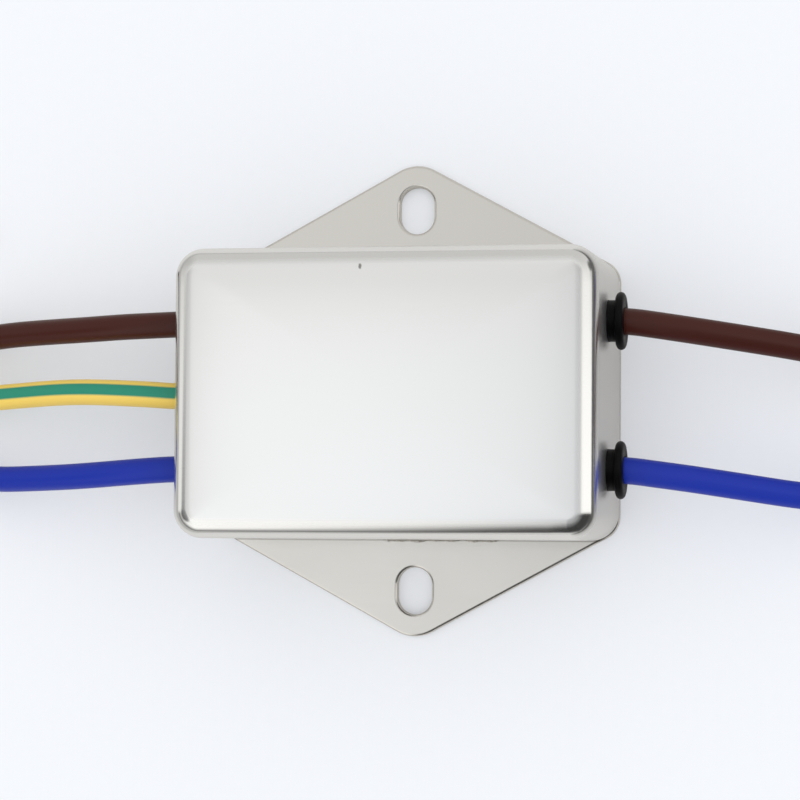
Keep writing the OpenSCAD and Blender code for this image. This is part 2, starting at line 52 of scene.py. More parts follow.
print("nodes:", len(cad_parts))

# %% [markdown]
# ## Sizes taken from the frame
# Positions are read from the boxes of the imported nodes, so this file and the construction model can't
# drift apart. Only sizes that no box gives, such as a bend radius, are named here.

# %% Main sizes
can_low, can_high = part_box("case")
plate_low, plate_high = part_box("base_plate")
CAN_L = can_high[0] - can_low[0]
CAN_W = can_high[1] - can_low[1]
CAN_BOTTOM = can_low[2]
CAN_TOP = can_high[2]
PLATE_T = plate_high[2] - plate_low[2]
CORNER_R = 3.0 * MM
EDGE_R = 2.2 * MM
SHEET_T = 0.5 * MM
FLANGE_T = 0.9 * MM
FLANGE_D = 6.05 * MM
NECK_D = 4.35 * MM
INNER_FLANGE_D = 5.6 * MM
INNER_FLANGE_T = 0.8 * MM
HOLE_CLEAR = 0.05 * MM
BORE_EASE = 0.12 * MM
SLOT_W = 3.8 * MM
SLOT_L = 5.1 * MM
SLOT_Y = CAN_W / 2 + 5.55 * MM
TIP_R = 4.0 * MM
PLATE_CORNER_R = 2.6 * MM
print("can %.1f x %.1f mm, top at %.1f mm" % (CAN_L / MM, CAN_W / MM, CAN_TOP / MM))

# %% [markdown]
# ## Camera
# The filter is seen from almost straight above, from a little beyond the end with two leads, so that end
# wall shows as a narrow band. A long lens keeps the top and the base plate nearly the same size. The
# camera is placed by a distance and two angles round a target, and its rotation is built from three
# axes, because a tracking constraint would leave the roll of the picture open.

# %% Place the camera
LENS_MM = 132.9
SENSOR_MM = 36.0
CAMERA_DISTANCE = 321.7 * MM
CAMERA_TARGET = Vector((-1.94, 0.08, 0.0)) * MM
CAMERA_AZIMUTH = math.radians(76.69)
CAMERA_ELEVATION = math.radians(78.22)
CAMERA_ROLL = math.radians(0.41)


def camera_axes(azimuth, elevation, roll):
    """Right, up and back axes of a camera that looks back along the given angles.

    Back points from the target to the camera. Right is square to back and to +Y, so +Y is up in the
    picture, and the roll turns right and up about back.
    """
    level = math.cos(elevation)
    back = Vector((math.sin(azimuth) * level, -math.cos(azimuth) * level, math.sin(elevation)))
    right = Vector((0, 1, 0)).cross(back).normalized()
    up = back.cross(right)
    turned_right = right * math.cos(roll) + up * math.sin(roll)
    turned_up = up * math.cos(roll) - right * math.sin(roll)
    return turned_right, turned_up, back


camera_data = bpy.data.cameras.new("camera")
camera_data.lens = LENS_MM
camera_data.sensor_width = SENSOR_MM
camera_data.clip_start = 0.01
camera_data.clip_end = 10.0
camera = bpy.data.objects.new("camera", camera_data)
bpy.context.scene.collection.objects.link(camera)
right, up, back = camera_axes(CAMERA_AZIMUTH, CAMERA_ELEVATION, CAMERA_ROLL)
turn = Matrix((right, up, back)).transposed().to_4x4()
camera.matrix_world = Matrix.Translation(CAMERA_TARGET + back * CAMERA_DISTANCE) @ turn
bpy.context.scene.camera = camera
print("camera at", [round(v / MM, 1) for v in camera.location], "mm")

# %% [markdown]
# ## Mesh helpers
# Every new piece is a surface worked out as whole arrays. Most are a grid: rows of points that follow one
# another, joined by four-sided faces. A tube is a grid whose rows are rings carried along a path, and a
# turned part is a grid whose rows are rings round an axis.


# %% Grids of points into meshes
def grid_faces(rows, columns, wrap_columns=False, wrap_rows=False):
    """Four-sided faces of a grid, numbered row by row.

    Face (i, j) joins points (i, j), (i, j+1), (i+1, j+1) and (i+1, j). Wrapping joins the last column
    back to the first, or the last row back to the first.
    """
    i = np.arange(rows if wrap_rows else rows - 1)[:, None]
    j = np.arange(columns if wrap_columns else columns - 1)[None, :]
    next_i = (i + 1) % rows
    next_j = (j + 1) % columns
    corners = (i * columns + j, i * columns + next_j, next_i * columns + next_j, next_i * columns + j)
    return np.stack([np.broadcast_to(c, (i.size, j.size)) for c in corners], axis=-1).reshape(-1, 4)


def capped_faces(rows, columns, start=0):
    """Faces of a grid that wraps round, with its first and last rows closed by one flat face each.

    Points are numbered from start.
    """
    faces = [tuple(f + start) for f in grid_faces(rows, columns, wrap_columns=True)]
    last = start + (rows - 1) * columns
    return faces + [tuple(range(start, start + columns))[::-1], tuple(range(last, last + columns))]


def mesh_object(name, points, faces, sharp_deg=None):
    """A new smooth object at the origin. Edges that turn by more than sharp_deg degrees stay sharp."""
    mesh = bpy.data.meshes.new(name)
    mesh.from_pydata(points.reshape(-1, 3).tolist(), [], [list(map(int, f)) for f in faces])
    mesh.polygons.foreach_set("use_smooth", [True] * len(mesh.polygons))
    mesh.update()
    if sharp_deg:
        mesh.set_sharp_from_angle(angle=math.radians(sharp_deg))
    piece = bpy.data.objects.new(name, mesh)
    bpy.context.scene.collection.objects.link(piece)
    return piece


# %% [markdown]
# ## Routes of the leads
# The leads are equipment wire: a stranded tinned conductor in PVC, 2.8 mm over the insulation. Each is
# 100 mm long outside the can, with its last 6 mm stripped. It leaves its grommet level, sinks to the bench
# over some 35 mm, and its spare length is folded back once under a cable tie. The points below are the
# route's own, as in the construction model: the distance out from the end wall, the share of the lead's
# own row offset that is kept, the distance across the can, the share of the drop to the bench still to
# come, and the share of the tie's thickness under the lead. The lengths are in millimetres.

# %% Route points
LEAD_D = 2.8 * MM
LEAD_GAP = 7.75 * MM
LEAD_HEIGHT = 10.3 * MM
TIE_T = 0.8 * MM

ROUTES = {
    "line_brown": (-1, 1, [
        (0, 1, 0, 1, 0), (2, 1, 0, 1, 0), (4, 1, -0.1, 1, 0), (8, 1, -0.2, 0.97, 0),
        (12, 1, -0.4, 0.87, 0), (16, 1, -0.5, 0.73, 0), (20, 1, -0.6, 0.56, 0), (24, 1, -0.8, 0.39, 0),
        (28, 0.9, -0.6, 0.24, 0), (32, 0.65, 0.2, 0.12, 0), (36, 0.35, 0.8, 0.04, 0.2),
        (40, 0.1, 1.2, 0, 0.7), (44, 0, 1.5, 0, 1), (48, 0, 1.5, 0, 1), (51, 0, 1.6, 0, 0.5),
        (54.2, 0, 2.6, 0, 0), (57.4, 0, 5.8, 0, 0), (58.5, 0, 10, 0, 0), (57.4, 0, 14.2, 0, 0),
        (54.2, 0, 17.4, 0, 0), (50, 0, 18.5, 0, 0), (45, 0, 18.5, 0, 0), (39, 0, 18.5, 0, 0),
        (33, 0, 18.5, 0, 0)]),
    "line_earth": (-1, 0, [
        (0, 1, 0, 1, 0), (2, 1, 0, 1, 0), (4, 1, 0.2, 1, 0), (8, 1, 0.4, 0.97, 0),
        (12, 1, 0.6, 0.87, 0), (16, 1, 0.6, 0.73, 0), (20, 1, 0.4, 0.56, 0), (24, 1, 0.2, 0.39, 0),
        (28, 1, -0.1, 0.24, 0), (32, 1, -0.5, 0.12, 0), (36, 1, -0.9, 0.04, 0.2),
        (40, 1, -1.3, 0, 0.7), (44, 1, -1.5, 0, 1), (48, 1, -1.5, 0, 1), (52, 1, -1.3, 0, 0.4),
        (55.8, 1, 0, 0, 0), (60, 1, 4.2, 0, 0), (61.5, 1, 10, 0, 0), (60, 1, 15.8, 0, 0),
        (55.8, 1, 20, 0, 0), (50, 1, 21.5, 0, 0), (45.5, 1, 21.5, 0, 0), (41.5, 1, 21.5, 0, 0)]),
    "line_blue": (-1, -1, [
        (0, 1, 0, 1, 0), (2, 1, 0, 1, 0), (4, 1, -0.1, 1, 0), (8, 1, -0.4, 0.97, 0),
        (12, 1, -0.7, 0.87, 0), (16, 1, -0.9, 0.73, 0), (20, 1, -1, 0.56, 0), (24, 1, -1.1, 0.39, 0),
        (28, 0.9, -1.4, 0.24, 0), (32, 0.65, -2.5, 0.12, 0), (36, 0.35, -3.4, 0.04, 0.2),
        (40, 0.1, -4, 0, 0.7), (44, 0, -4.5, 0, 1), (48, 0, -4.5, 0, 1), (52, 0, -4.3, 0, 0.4),
        (57.2, 0, -2.6, 0, 0), (62.6, 0, 2.8, 0, 0), (64.5, 0, 10, 0, 0), (62.6, 0, 17.2, 0, 0),
        (60.6, 0, 20.4, 0, 0), (57.6, 0, 22.8, 0, 0), (54, 0, 24.2, 0, 0), (50.5, 0, 24.5, 0, 0)]),
    "load_brown": (1, 1, [
        (0, 1, 0, 1, 0), (2, 1, 0, 1, 0), (4, 1, -0.3, 1, 0), (8, 1, -0.9, 0.97, 0),
        (12, 1, -1.5, 0.87, 0), (16, 1, -2.1, 0.73, 0), (20, 1, -2.7, 0.56, 0),
        (24, 0.9, -2.8, 0.39, 0), (28, 0.7, -2.5, 0.24, 0), (32, 0.45, -2.5, 0.12, 0),
        (36, 0.25, -3, 0.04, 0.2), (40, 0.1, -3.7, 0, 0.7), (44, 0, -3.5, 0, 1), (48, 0, -3.5, 0, 1),
        (51, 0, -3.4, 0, 0.5), (54.2, 0, -2.4, 0, 0), (57.4, 0, 0.8, 0, 0), (58.5, 0, 5, 0, 0),
        (57.4, 0, 9.2, 0, 0), (54.2, 0, 12.4, 0, 0), (50, 0, 13.5, 0, 0), (45, 0, 13.5, 0, 0),
        (40, 0, 13.5, 0, 0), (35, 0, 13.5, 0, 0)]),
    "load_blue": (1, -1, [
        (0, 1, 0, 1, 0), (2, 1, 0, 1, 0), (4, 1, -0.3, 1, 0), (8, 1, -0.8, 0.97, 0),
        (12, 1, -1.4, 0.87, 0), (16, 1, -2, 0.73, 0), (20, 1, -2.6, 0.56, 0),
        (24, 0.9, -3.6, 0.39, 0), (28, 0.7, -4.9, 0.24, 0), (32, 0.45, -6, 0.12, 0),
        (36, 0.25, -6.4, 0.04, 0.2), (40, 0.1, -6.1, 0, 0.7), (44, 0, -6.5, 0, 1), (48, 0, -6.5, 0, 1),
        (52, 0, -6.3, 0, 0.4), (55.8, 0, -5, 0, 0), (60, 0, -0.8, 0, 0), (61.5, 0, 5, 0, 0),
        (60, 0, 10.8, 0, 0), (55.8, 0, 15, 0, 0), (50, 0, 16.5, 0, 0), (46, 0, 16.5, 0, 0),
        (42, 0, 16.5, 0, 0)]),
}


def route_in_metres(end, row, points):
    """The route's points in the frame: x from the end wall outwards, y across, z above the bench."""
    out, keep, across, drop, lift = np.array(points).T
    lead_r = LEAD_D / 2
    x = end * (CAN_L / 2 + out * MM)
    y = row * LEAD_GAP * keep + across * MM
    z = lead_r + (LEAD_HEIGHT - lead_r) * drop + TIE_T * lift
    return np.stack([x, y, z], axis=1)


print("routes:", {name: len(points) for name, (end, row, points) in ROUTES.items()})

# %% [markdown]
# ## A smooth curve from a route
# Wire bends in one smooth sweep, so the route's points steer a cubic B-spline, which never overshoots as a
# curve through the points would. Its end knots are repeated, so it starts and ends exactly on the first
# and last points. The curve is then walked again in even steps, so that the rings of the tube are evenly
# spaced.


# %% B-spline and even steps
def b_spline(points, samples):
    """Points on the clamped cubic B-spline of the control points.

    Each basis function is built up from steps to straight ramps to parabolas to cubics: a basis function
    of one degree is the sum of two neighbours of the degree below, each weighted by how far the
    parameter has come through its own span of knots.
    """
    count, degree = len(points), 3
    inner = np.linspace(0, 1, count - degree + 1)
    knots = np.concatenate([np.zeros(degree), inner, np.ones(degree)])
    t = np.linspace(0, 1 - 1e-9, samples)[:, None]
    basis = ((t >= knots[:-1]) & (t < knots[1:])).astype(float)
    for k in range(1, degree + 1):
        rise = knots[k:-1] - knots[:-k - 1]
        fall = knots[k + 1:] - knots[1:-k]
        up_ramp = np.where(rise > 0, (t - knots[:-k - 1]) / np.where(rise > 0, rise, 1), 0)
        down_ramp = np.where(fall > 0, (knots[k + 1:] - t) / np.where(fall > 0, fall, 1), 0)
        basis = up_ramp * basis[:, :-1] + down_ramp * basis[:, 1:]
    return basis @ points


def walked_along(path):
    """Length from the start of the path to each of its points."""
    return np.concatenate([[0], np.cumsum(np.linalg.norm(np.diff(path, axis=0), axis=1))])


def evenly_spaced(path, step):
    """The same path walked in equal steps of about the given length."""
    walked = walked_along(path)
    stops = np.linspace(0, walked[-1], max(int(walked[-1] / step), 2) + 1)
    return np.stack([np.interp(stops, walked, path[:, k]) for k in range(3)], axis=1)


# %% [markdown]
# ## Tubes along a path
# A ring is turned square to the path at each of its points. For a lead that lies on a bench the level
# direction across the path is a good reference, because the path is never upright outside the can: the
# rings don't twist, and a stripe along the insulation keeps its side.


# %% Tube with flat ends and its own UV map
def tube_points(path, radius, sides):
    """Rings of points: the path's point plus radius times (cos a of across plus sin a of over).

    Across is level and square to the path, and over is square to both.
    """
    along = np.gradient(path, axis=0)
    along /= np.linalg.norm(along, axis=1)[:, None]
    across = np.cross(np.broadcast_to((0, 0, 1), along.shape), along)
    across /= np.linalg.norm(across, axis=1)[:, None]
    over = np.cross(along, across)
    a = np.arange(sides) * 2 * np.pi / sides
    ring = np.cos(a)[None, :, None] * across[:, None] + np.sin(a)[None, :, None] * over[:, None]
    return path[:, None] + radius * ring


def tube_object(name, path, radius, sides):
    """A closed tube. Its UV map holds the length walked, in metres, and the turn round the tube.

    The last face of each ring runs from the last side back to the first, so its turn ends at 1 and not
    at 0.
    """
    rings = len(path)
    piece = mesh_object(name, tube_points(path, radius, sides), capped_faces(rings, sides))
    walked = walked_along(path)
    uv_layer = piece.data.uv_layers.new(name="tube")
    corner_vertex = np.zeros(len(piece.data.loops), dtype=int)
    piece.data.loops.foreach_get("vertex_index", corner_vertex)
    ring_index, side_index = corner_vertex // sides, corner_vertex % sides
    side_share = side_index / sides
    quad_corners = 4 * (rings - 1) * sides
    first = np.arange(quad_corners) // 4 % sides
    side_share[:quad_corners] = np.where(
        (side_index[:quad_corners] == 0) & (first == sides - 1), 1.0, side_share[:quad_corners])
    uv_layer.data.foreach_set("uv", np.stack([walked[ring_index], side_share], axis=1).ravel())
    return piece


# %% [markdown]
# ## The five leads
# Each lead is one tube from the outer face of its wall to the edge of its stripped end. The ends are cut
# square, as wire strippers leave them. The tube stands for the plain solid of the construction model.

# %% Make the leads
LEAD_STEP = 0.7 * MM
LEAD_SIDES = 28
CURVE_SAMPLES = 1200
INSIDE_L = 1.3 * MM
lead_paths, lead_lengths, leads = {}, {}, {}
for name, (end, row, points) in ROUTES.items():
    route = route_in_metres(end, row, points)
    path = evenly_spaced(b_spline(route, CURVE_SAMPLES), LEAD_STEP)
    start = path[0] - np.array([end * INSIDE_L, 0, 0])
    path = np.vstack([start, path])
    lead_paths[name] = path
    lead_lengths[name] = float(walked_along(path)[-1])
    leads[name] = tube_object("lead_" + name + "_skin", path, LEAD_D / 2, LEAD_SIDES)
    print(name, "%.1f mm" % (lead_lengths[name] / MM))

# %% [markdown]
# ## The can
# The can is deep-drawn from half-millimetre sheet: a punch pushes a flat blank through a ring, which
# leaves walls with rounded corners and a generous bend round the top. The skin is a grid. Its columns go
# round the rounded rectangle, and its rows follow the section of the sheet: from the middle of the inner
# face out and down to the rim, then up the outer face and back to the middle of the top. The top rises by
# a tenth of a millimetre towards its middle, mostly near its edges, as drawn sheet does. The bend
# therefore begins softly, and the flat doesn't mirror like glass.


# %% Outline and shell of the can
def rounded_rectangle(length, width, radius, per_corner=14, per_side=20):
    """Points and outward directions round a rectangle with round corners, anticlockwise.

    Each corner is a quarter circle about its own centre. Extra points on the straight sides keep the
    faces of the flat top well shaped.
    """
    spots, normals = [], []
    centres = [(1, 1), (-1, 1), (-1, -1), (1, -1)]
    for k, (sx, sy) in enumerate(centres):
        a = np.radians(90 * k) + np.linspace(0, np.pi / 2, per_corner)
        normal = np.stack([np.cos(a), np.sin(a)], axis=1)
        centre = np.array([sx * (length / 2 - radius), sy * (width / 2 - radius)])
        arc = centre + radius * normal
        nx, ny = centres[(k + 1) % 4]
        following = np.array([nx * (length / 2 - radius), ny * (width / 2 - radius)]) + radius * normal[-1]
        t = np.linspace(0, 1, per_side + 2)[1:-1, None]
        spots += [arc, arc[-1] + (following - arc[-1]) * t]
        normals += [normal, np.repeat(normal[-1:], per_side, axis=0)]
    return np.concatenate(spots), np.concatenate(normals)


CROWN = 0.1 * MM
RIM_R = 0.16 * MM
WALL_ROWS = 6
HOLE_SIDES = 48
TOP_SHARES = np.array([1.0, 0.985, 0.965, 0.94, 0.91, 0.87, 0.82, 0.75, 0.66, 0.52, 0.37, 0.22, 0.09, 0.01])


def shell_side(inset, top, edge_r):
    """Rows of one face of the can's sheet, from the rim to the middle of the top.

    The outer rim is eased by RIM_R, so a thin shadow runs along the seam. The wall goes straight up, the
    bend is a quarter circle, and on the top the last outline shrinks by TOP_SHARES towards the middle
    while it climbs. The climb still to come is a mix of the share's square and its eighth power, so most
    of it happens near the edge.
    """
    spots, normals = rounded_rectangle(CAN_L, CAN_W, CORNER_R)
    rows = []
    ease = RIM_R if inset == 0 else 0
    for a in np.linspace(0, np.pi / 2, 5)[:-1] if ease else ():
        at, z = ease * (1 - np.sin(a)), CAN_BOTTOM + ease * (1 - np.cos(a))
        rows.append(np.column_stack([spots - at * normals, np.full(len(spots), z)]))
    for z in np.linspace(CAN_BOTTOM + ease, top - CROWN - edge_r, WALL_ROWS):
        rows.append(np.column_stack([spots - inset * normals, np.full(len(spots), z)]))
    for a in np.linspace(0, np.pi / 2, 17)[1:]:
        at = inset + edge_r * (1 - np.cos(a))
        z = top - CROWN - edge_r + edge_r * np.sin(a)
        rows.append(np.column_stack([spots - at * normals, np.full(len(spots), z)]))
    rim = rows[-1][:, :2]
    for share in TOP_SHARES[1:]:
        drop = CROWN * (0.3 * share ** 2 + 0.7 * share ** 8)
        rows.append(np.column_stack([rim * share, np.full(len(spots), top - drop)]))
    return rows


def cut_with(piece, cutter):
    """The piece with the cutter's volume taken out of it, as a plain mesh. The cutter is removed."""
    modifier = piece.modifiers.new("cut", "BOOLEAN")
    modifier.operation = "DIFFERENCE"
    modifier.solver = "EXACT"
    modifier.object = cutter
    evaluated = piece.evaluated_get(bpy.context.evaluated_depsgraph_get())
    cut_mesh = bpy.data.meshes.new_from_object(evaluated)
    piece.modifiers.clear()
    piece.data = cut_mesh
    bpy.data.objects.remove(cutter, do_unlink=True)
    cut_mesh.polygons.foreach_set("use_smooth", [True] * len(cut_mesh.polygons))
    cut_mesh.set_sharp_from_angle(angle=math.radians(35))


inner = shell_side(SHEET_T, CAN_TOP - SHEET_T, EDGE_R - SHEET_T)
outer = shell_side(0, CAN_TOP, EDGE_R)
rows = np.array(inner[::-1] + outer)
can = mesh_object("can_skin", rows, capped_faces(*rows.shape[:2]))

EXITS = {name: (end, row) for name, (end, row, _) in ROUTES.items()}
cutter_points, cutter_faces = [], []
for end, row in EXITS.values():
    a = np.arange(HOLE_SIDES) * 2 * np.pi / HOLE_SIDES
    r = NECK_D / 2 + HOLE_CLEAR
    y, z = row * LEAD_GAP + end * r * np.cos(a), LEAD_HEIGHT + r * np.sin(a)
    cutter_faces += capped_faces(2, HOLE_SIDES, len(cutter_points) * HOLE_SIDES)
    for x in (CAN_L / 2 - 2 * MM, CAN_L / 2 + 1 * MM):
        cutter_points.append(np.column_stack([np.full(HOLE_SIDES, x * end), y, z]))
cut_with(can, mesh_object("hole_cutter", np.array(cutter_points), cutter_faces))
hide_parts("case")
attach(can, "root")

# %% [markdown]
# ## The base plate
# The plate is blanked from one-millimetre sheet. A blanking die rolls the edge on the side that it enters
# and leaves the other side square, so the upper edges of the outline and of the slots are rounded by a
# quarter of a millimetre. Six arcs make the outline, and straight lines touch them from outside.


# %% Outline and skin of the plate
def arc(centre, radius, start, stop, count):
    """Points and outward directions on an arc from one angle to another."""
    a = np.linspace(start, stop, count)
    normal = np.stack([np.cos(a), np.sin(a)], axis=1)
    return np.array(centre) + radius * normal, normal


def plate_outline():
    """The plate's outline and outward directions, anticlockwise.

    The line between a corner circle and the tip circle leans so that it touches both: its normal is
    turned from the line of centres by the angle whose sine is the difference of radii over distance.
    """
    corner = np.array([CAN_L / 2 - PLATE_CORNER_R, CAN_W / 2 - PLATE_CORNER_R])
    tip = np.array([0, plate_high[1] - TIP_R])
    gap = tip - corner
    slope = math.atan2(gap[1], corner[0]) + math.asin((TIP_R - PLATE_CORNER_R) / np.hypot(*gap))
    touch = np.pi / 2 - slope
    parts = [
        arc(corner, PLATE_CORNER_R, 0, touch, 12),
        arc(tip, TIP_R, touch, np.pi - touch, 36),
        arc(corner * [-1, 1], PLATE_CORNER_R, np.pi - touch, np.pi, 12),
        arc(-corner, PLATE_CORNER_R, np.pi, np.pi + touch, 12),
        arc(-tip, TIP_R, np.pi + touch, 2 * np.pi - touch, 36),
        arc(corner * [1, -1], PLATE_CORNER_R, 2 * np.pi - touch, 2 * np.pi, 12),
    ]
    return np.concatenate([p for p, _ in parts]), np.concatenate([n for _, n in parts])


def slot_loop(side):
    """The slot's outline, clockwise, with directions that point out of the metal into the slot."""
    half = (SLOT_L - SLOT_W) / 2
    upper = arc((0, side * SLOT_Y + half), SLOT_W / 2, 0, np.pi, 28)
    lower = arc((0, side * SLOT_Y - half), SLOT_W / 2, np.pi, 2 * np.pi, 28)
    points = np.concatenate([upper[0], lower[0]])[::-1]
    normals = -np.concatenate([upper[1], lower[1]])[::-1]
    return points, normals


DIE_ROLL = 0.28 * MM
roll = np.linspace(0, np.pi / 2, 8)
edge_insets = np.concatenate([[0, 0], DIE_ROLL * (1 - np.cos(roll[1:]))])
edge_heights = np.concatenate([[0, PLATE_T - DIE_ROLL], PLATE_T - DIE_ROLL + DIE_ROLL * np.sin(roll[1:])])
loops = [plate_outline(), slot_loop(1), slot_loop(-1)]
plate_points, plate_faces, low_loops, high_loops = [], [], [], []
start = 0
for points, normals in loops:
    count = len(points)
    for inset, z in zip(edge_insets, edge_heights):
        plate_points.append(np.column_stack([points - inset * normals, np.full(count, z)]))
    plate_faces += [tuple(f + start) for f in grid_faces(len(edge_insets), count, wrap_columns=True)]
    low_loops.append(np.arange(count) + start)
    high_loops.append(np.arange(count) + start + count * (len(edge_insets) - 1))
    start += count * len(edge_insets)
plate_points = np.concatenate(plate_points)
for chosen, upward in ((low_loops, False), (high_loops, True)):
    order = np.concatenate(chosen)
    flat = [[Vector(plate_points[i]) for i in loop] for loop in chosen]
    for tri in geometry.tessellate_polygon(flat):
        a, b, c = (plate_points[order[i]][:2] for i in tri)
        turn_way = (b[0] - a[0]) * (c[1] - a[1]) - (b[1] - a[1]) * (c[0] - a[0])
        face = tuple(order[i] for i in tri)
        plate_faces.append(face if (turn_way > 0) == upward else face[::-1])
plate = mesh_object("plate_skin", plate_points, plate_faces, sharp_deg=30)
for face in plate.data.polygons:
    if len(face.vertices) == 3:
        face.use_smooth = False
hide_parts("base_plate")
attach(plate, "root")

# %% [markdown]
# ## Solder in the seam
# Can and plate are joined by a little solder that has run along the seam of both long walls. It is a thin
# uneven fillet. Its height and reach wander round a fifth of a millimetre, by a sum of sine waves whose
# lengths don't share a common period, and it thins out towards its ends.

# %% Uneven fillet in the corner between wall and plate
bead_low, bead_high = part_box("seam_solder")
BEAD_STEPS = 131
BEAD_ARC = 6
along = np.linspace(bead_low[0], bead_high[0], BEAD_STEPS)
waves = np.sin(along / (0.31 * MM)) + np.sin(along / (0.53 * MM) + 1) + np.sin(along / (1.7 * MM) + 2)
taper = np.clip(np.minimum(along - bead_low[0], bead_high[0] - along) / (0.6 * MM), 0.25, 1)
leg = (0.2 + 0.045 * waves) * MM * taper
bead_points, bead_faces = [], []
for side in (-1, 1):
    a = np.linspace(0, np.pi / 2, BEAD_ARC)
    reach = np.concatenate([1 - np.sin(a), [0]])
    rise = np.concatenate([1 - np.cos(a), [0]])
    y = side * (CAN_W / 2 + leg[:, None] * reach)
    z = PLATE_T + leg[:, None] * rise
    ring = np.stack([np.repeat(along[:, None], BEAD_ARC + 1, axis=1), y, z], axis=-1)
    base = len(bead_points) * ring.shape[0] * ring.shape[1]
    faces = capped_faces(BEAD_STEPS, BEAD_ARC + 1, base)
    bead_points.append(ring)
    bead_faces += faces if side > 0 else [f[::-1] for f in faces]
bead = mesh_object("seam_solder_skin", np.array(bead_points), bead_faces, sharp_deg=50)
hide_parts("seam_solder")
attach(bead, "root")

# %% [markdown]
# ## The grommets
# Each wire hole is lined with a moulded rubber grommet. It is a turned form: a neck that fills the hole
# between an inner and an outer flange, whose rims are full rounds. Half its section is one closed line,
# and that line is carried round the lead's axis.


# %% Section and turned form of a grommet
def grommet_section(show):
    """Half the section: distance out from the wall's outer face, and radius, anticlockwise."""
    bore = LEAD_D / 2
    rim, inner_rim = FLANGE_T / 2, INNER_FLANGE_T / 2
    deep = -SHEET_T - INNER_FLANGE_T
    turn_a = np.linspace(np.pi / 2, -np.pi / 2, 12)
    inner_arc = np.column_stack([-SHEET_T - inner_rim - inner_rim * np.sin(turn_a),
                                 INNER_FLANGE_D / 2 - inner_rim + inner_rim * np.cos(turn_a)])
    outer_arc = np.column_stack([show + rim - rim * np.sin(turn_a),
                                 FLANGE_D / 2 - rim + rim * np.cos(turn_a)])
    neck = [(-SHEET_T, NECK_D / 2), (show, NECK_D / 2)]
    face = [(show + FLANGE_T, bore + BORE_EASE), (show + FLANGE_T - BORE_EASE, bore)]
    return np.array([(deep, bore), *inner_arc, *neck, *outer_arc, *face])


GROMMET_SIDES = 56
grommets = {}
for name, (end, row) in EXITS.items():
    low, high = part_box("grommet_" + name)
    reach = max(abs(low[0]), abs(high[0])) - CAN_L / 2
    section = grommet_section(reach - FLANGE_T)
    a = end * np.arange(GROMMET_SIDES) * 2 * np.pi / GROMMET_SIDES
    out = np.repeat(section[:, :1], GROMMET_SIDES, axis=1)
    y = row * LEAD_GAP + section[:, 1:] * np.cos(a)[None]
    z = LEAD_HEIGHT + section[:, 1:] * np.sin(a)[None]
    points = np.stack([end * (CAN_L / 2 + out), y, z], axis=-1)
    faces = grid_faces(len(section), GROMMET_SIDES, wrap_columns=True, wrap_rows=True)
    grommets[name] = mesh_object("grommet_" + name + "_skin", points, faces[:, ::-1], sharp_deg=50)
    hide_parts("grommet_" + name)
    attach(grommets[name], "root")
print("grommets:", list(grommets))

# %% [markdown]
# Each tube takes the place of its plain lead, whose node is hidden, and is attached to the root body.

# %% Tubes in place of the plain leads
for name, skin in leads.items():
    end, row = EXITS[name]
    side = "line" if end < 0 else "load"
    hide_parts("lead_" + name)
    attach(skin, "root")

# %% [markdown]
# ## Colours and finishes
# Colours are written as they look on the object, and one function turns them into the linear values that
# a renderer adds up. A helper adds one node at a time, so that each finish reads from top to bottom.


# %% Colour and node helpers
def linear(hex_colour):
    """Linear RGBA of an sRGB colour such as "#48241D"."""
    parts = [int(hex_colour[i:i + 2], 16) / 255 for i in (1, 3, 5)]
    return tuple(c / 12.92 if c <= 0.04045 else ((c + 0.055) / 1.055) ** 2.4 for c in parts) + (1.0,)


def add(tree, kind, inputs=None, **settings):
    """A new node, its kind without the ShaderNode prefix. Inputs are values, or sockets to link from."""
    node = tree.nodes.new("ShaderNode" + kind)
    for key, value in settings.items():
        setattr(node, key, value)
    for key, value in (inputs or {}).items():
        if isinstance(value, bpy.types.NodeSocket):
            tree.links.new(value, node.inputs[key])
        else:
            node.inputs[key].default_value = value
    return node


def finish_of(name, colour, roughness, metallic=0.0):
    """A material with one surface shader, returned with its node tree and shader."""
    material = bpy.data.materials.new(name)
    material.use_nodes = True
    tree = material.node_tree
    shader = tree.nodes["Principled BSDF"]
    shader.inputs["Base Color"].default_value = linear(colour)
    shader.inputs["Roughness"].default_value = roughness
    shader.inputs["Metallic"].default_value = metallic
    return material, tree, shader


# %% [markdown]
# ## Plated steel
# Tin plate is rolled before it is drawn, so it keeps very fine lines along the length of the can. They
# are noise stretched along X, about seven to a millimetre across it, coarser than the real ones so that
# they show. The can is bright. The plate is duller and a little warmer, because it was blanked and not
# drawn through a polished ring.

# %% Tin plate of the can and of the base plate
CAN_TIN = "#EDEDEC"
PLATE_TIN = "#E0DDD8"


def rolled_plate(name, colour, roughness, line_depth):
    """Tin plate with rolled lines. Returned with its tree and shader, so that marks can be added."""
    material, tree, shader = finish_of(name, colour, roughness, metallic=1.0)
    place = add(tree, "TexCoord").outputs["Object"]
    stretched = add(tree, "Mapping", {"Vector": place, "Scale": (0.09 / MM, 7 / MM, 7 / MM)}).outputs[0]
    lines = add(tree, "TexNoise", {"Vector": stretched, "Scale": 1.0, "Detail": 3.0}).outputs["Fac"]
    cloud = add(tree, "TexNoise", {"Vector": place, "Scale": 0.09 / MM, "Detail": 2.0}).outputs["Fac"]
    blend = add(tree, "Math", {0: lines, 1: cloud}, operation="ADD").outputs[0]
    rough = add(tree, "MapRange", {
        "Value": blend, "From Min": 0.6, "From Max": 1.4,
        "To Min": roughness * 0.9, "To Max": roughness * 1.1}).outputs[0]
    bump = add(tree, "Bump", {"Height": lines, "Strength": line_depth, "Distance": 0.02 * MM}).outputs[0]
    tree.links.new(rough, shader.inputs["Roughness"])
    tree.links.new(bump, shader.inputs["Normal"])
    return material, tree, shader


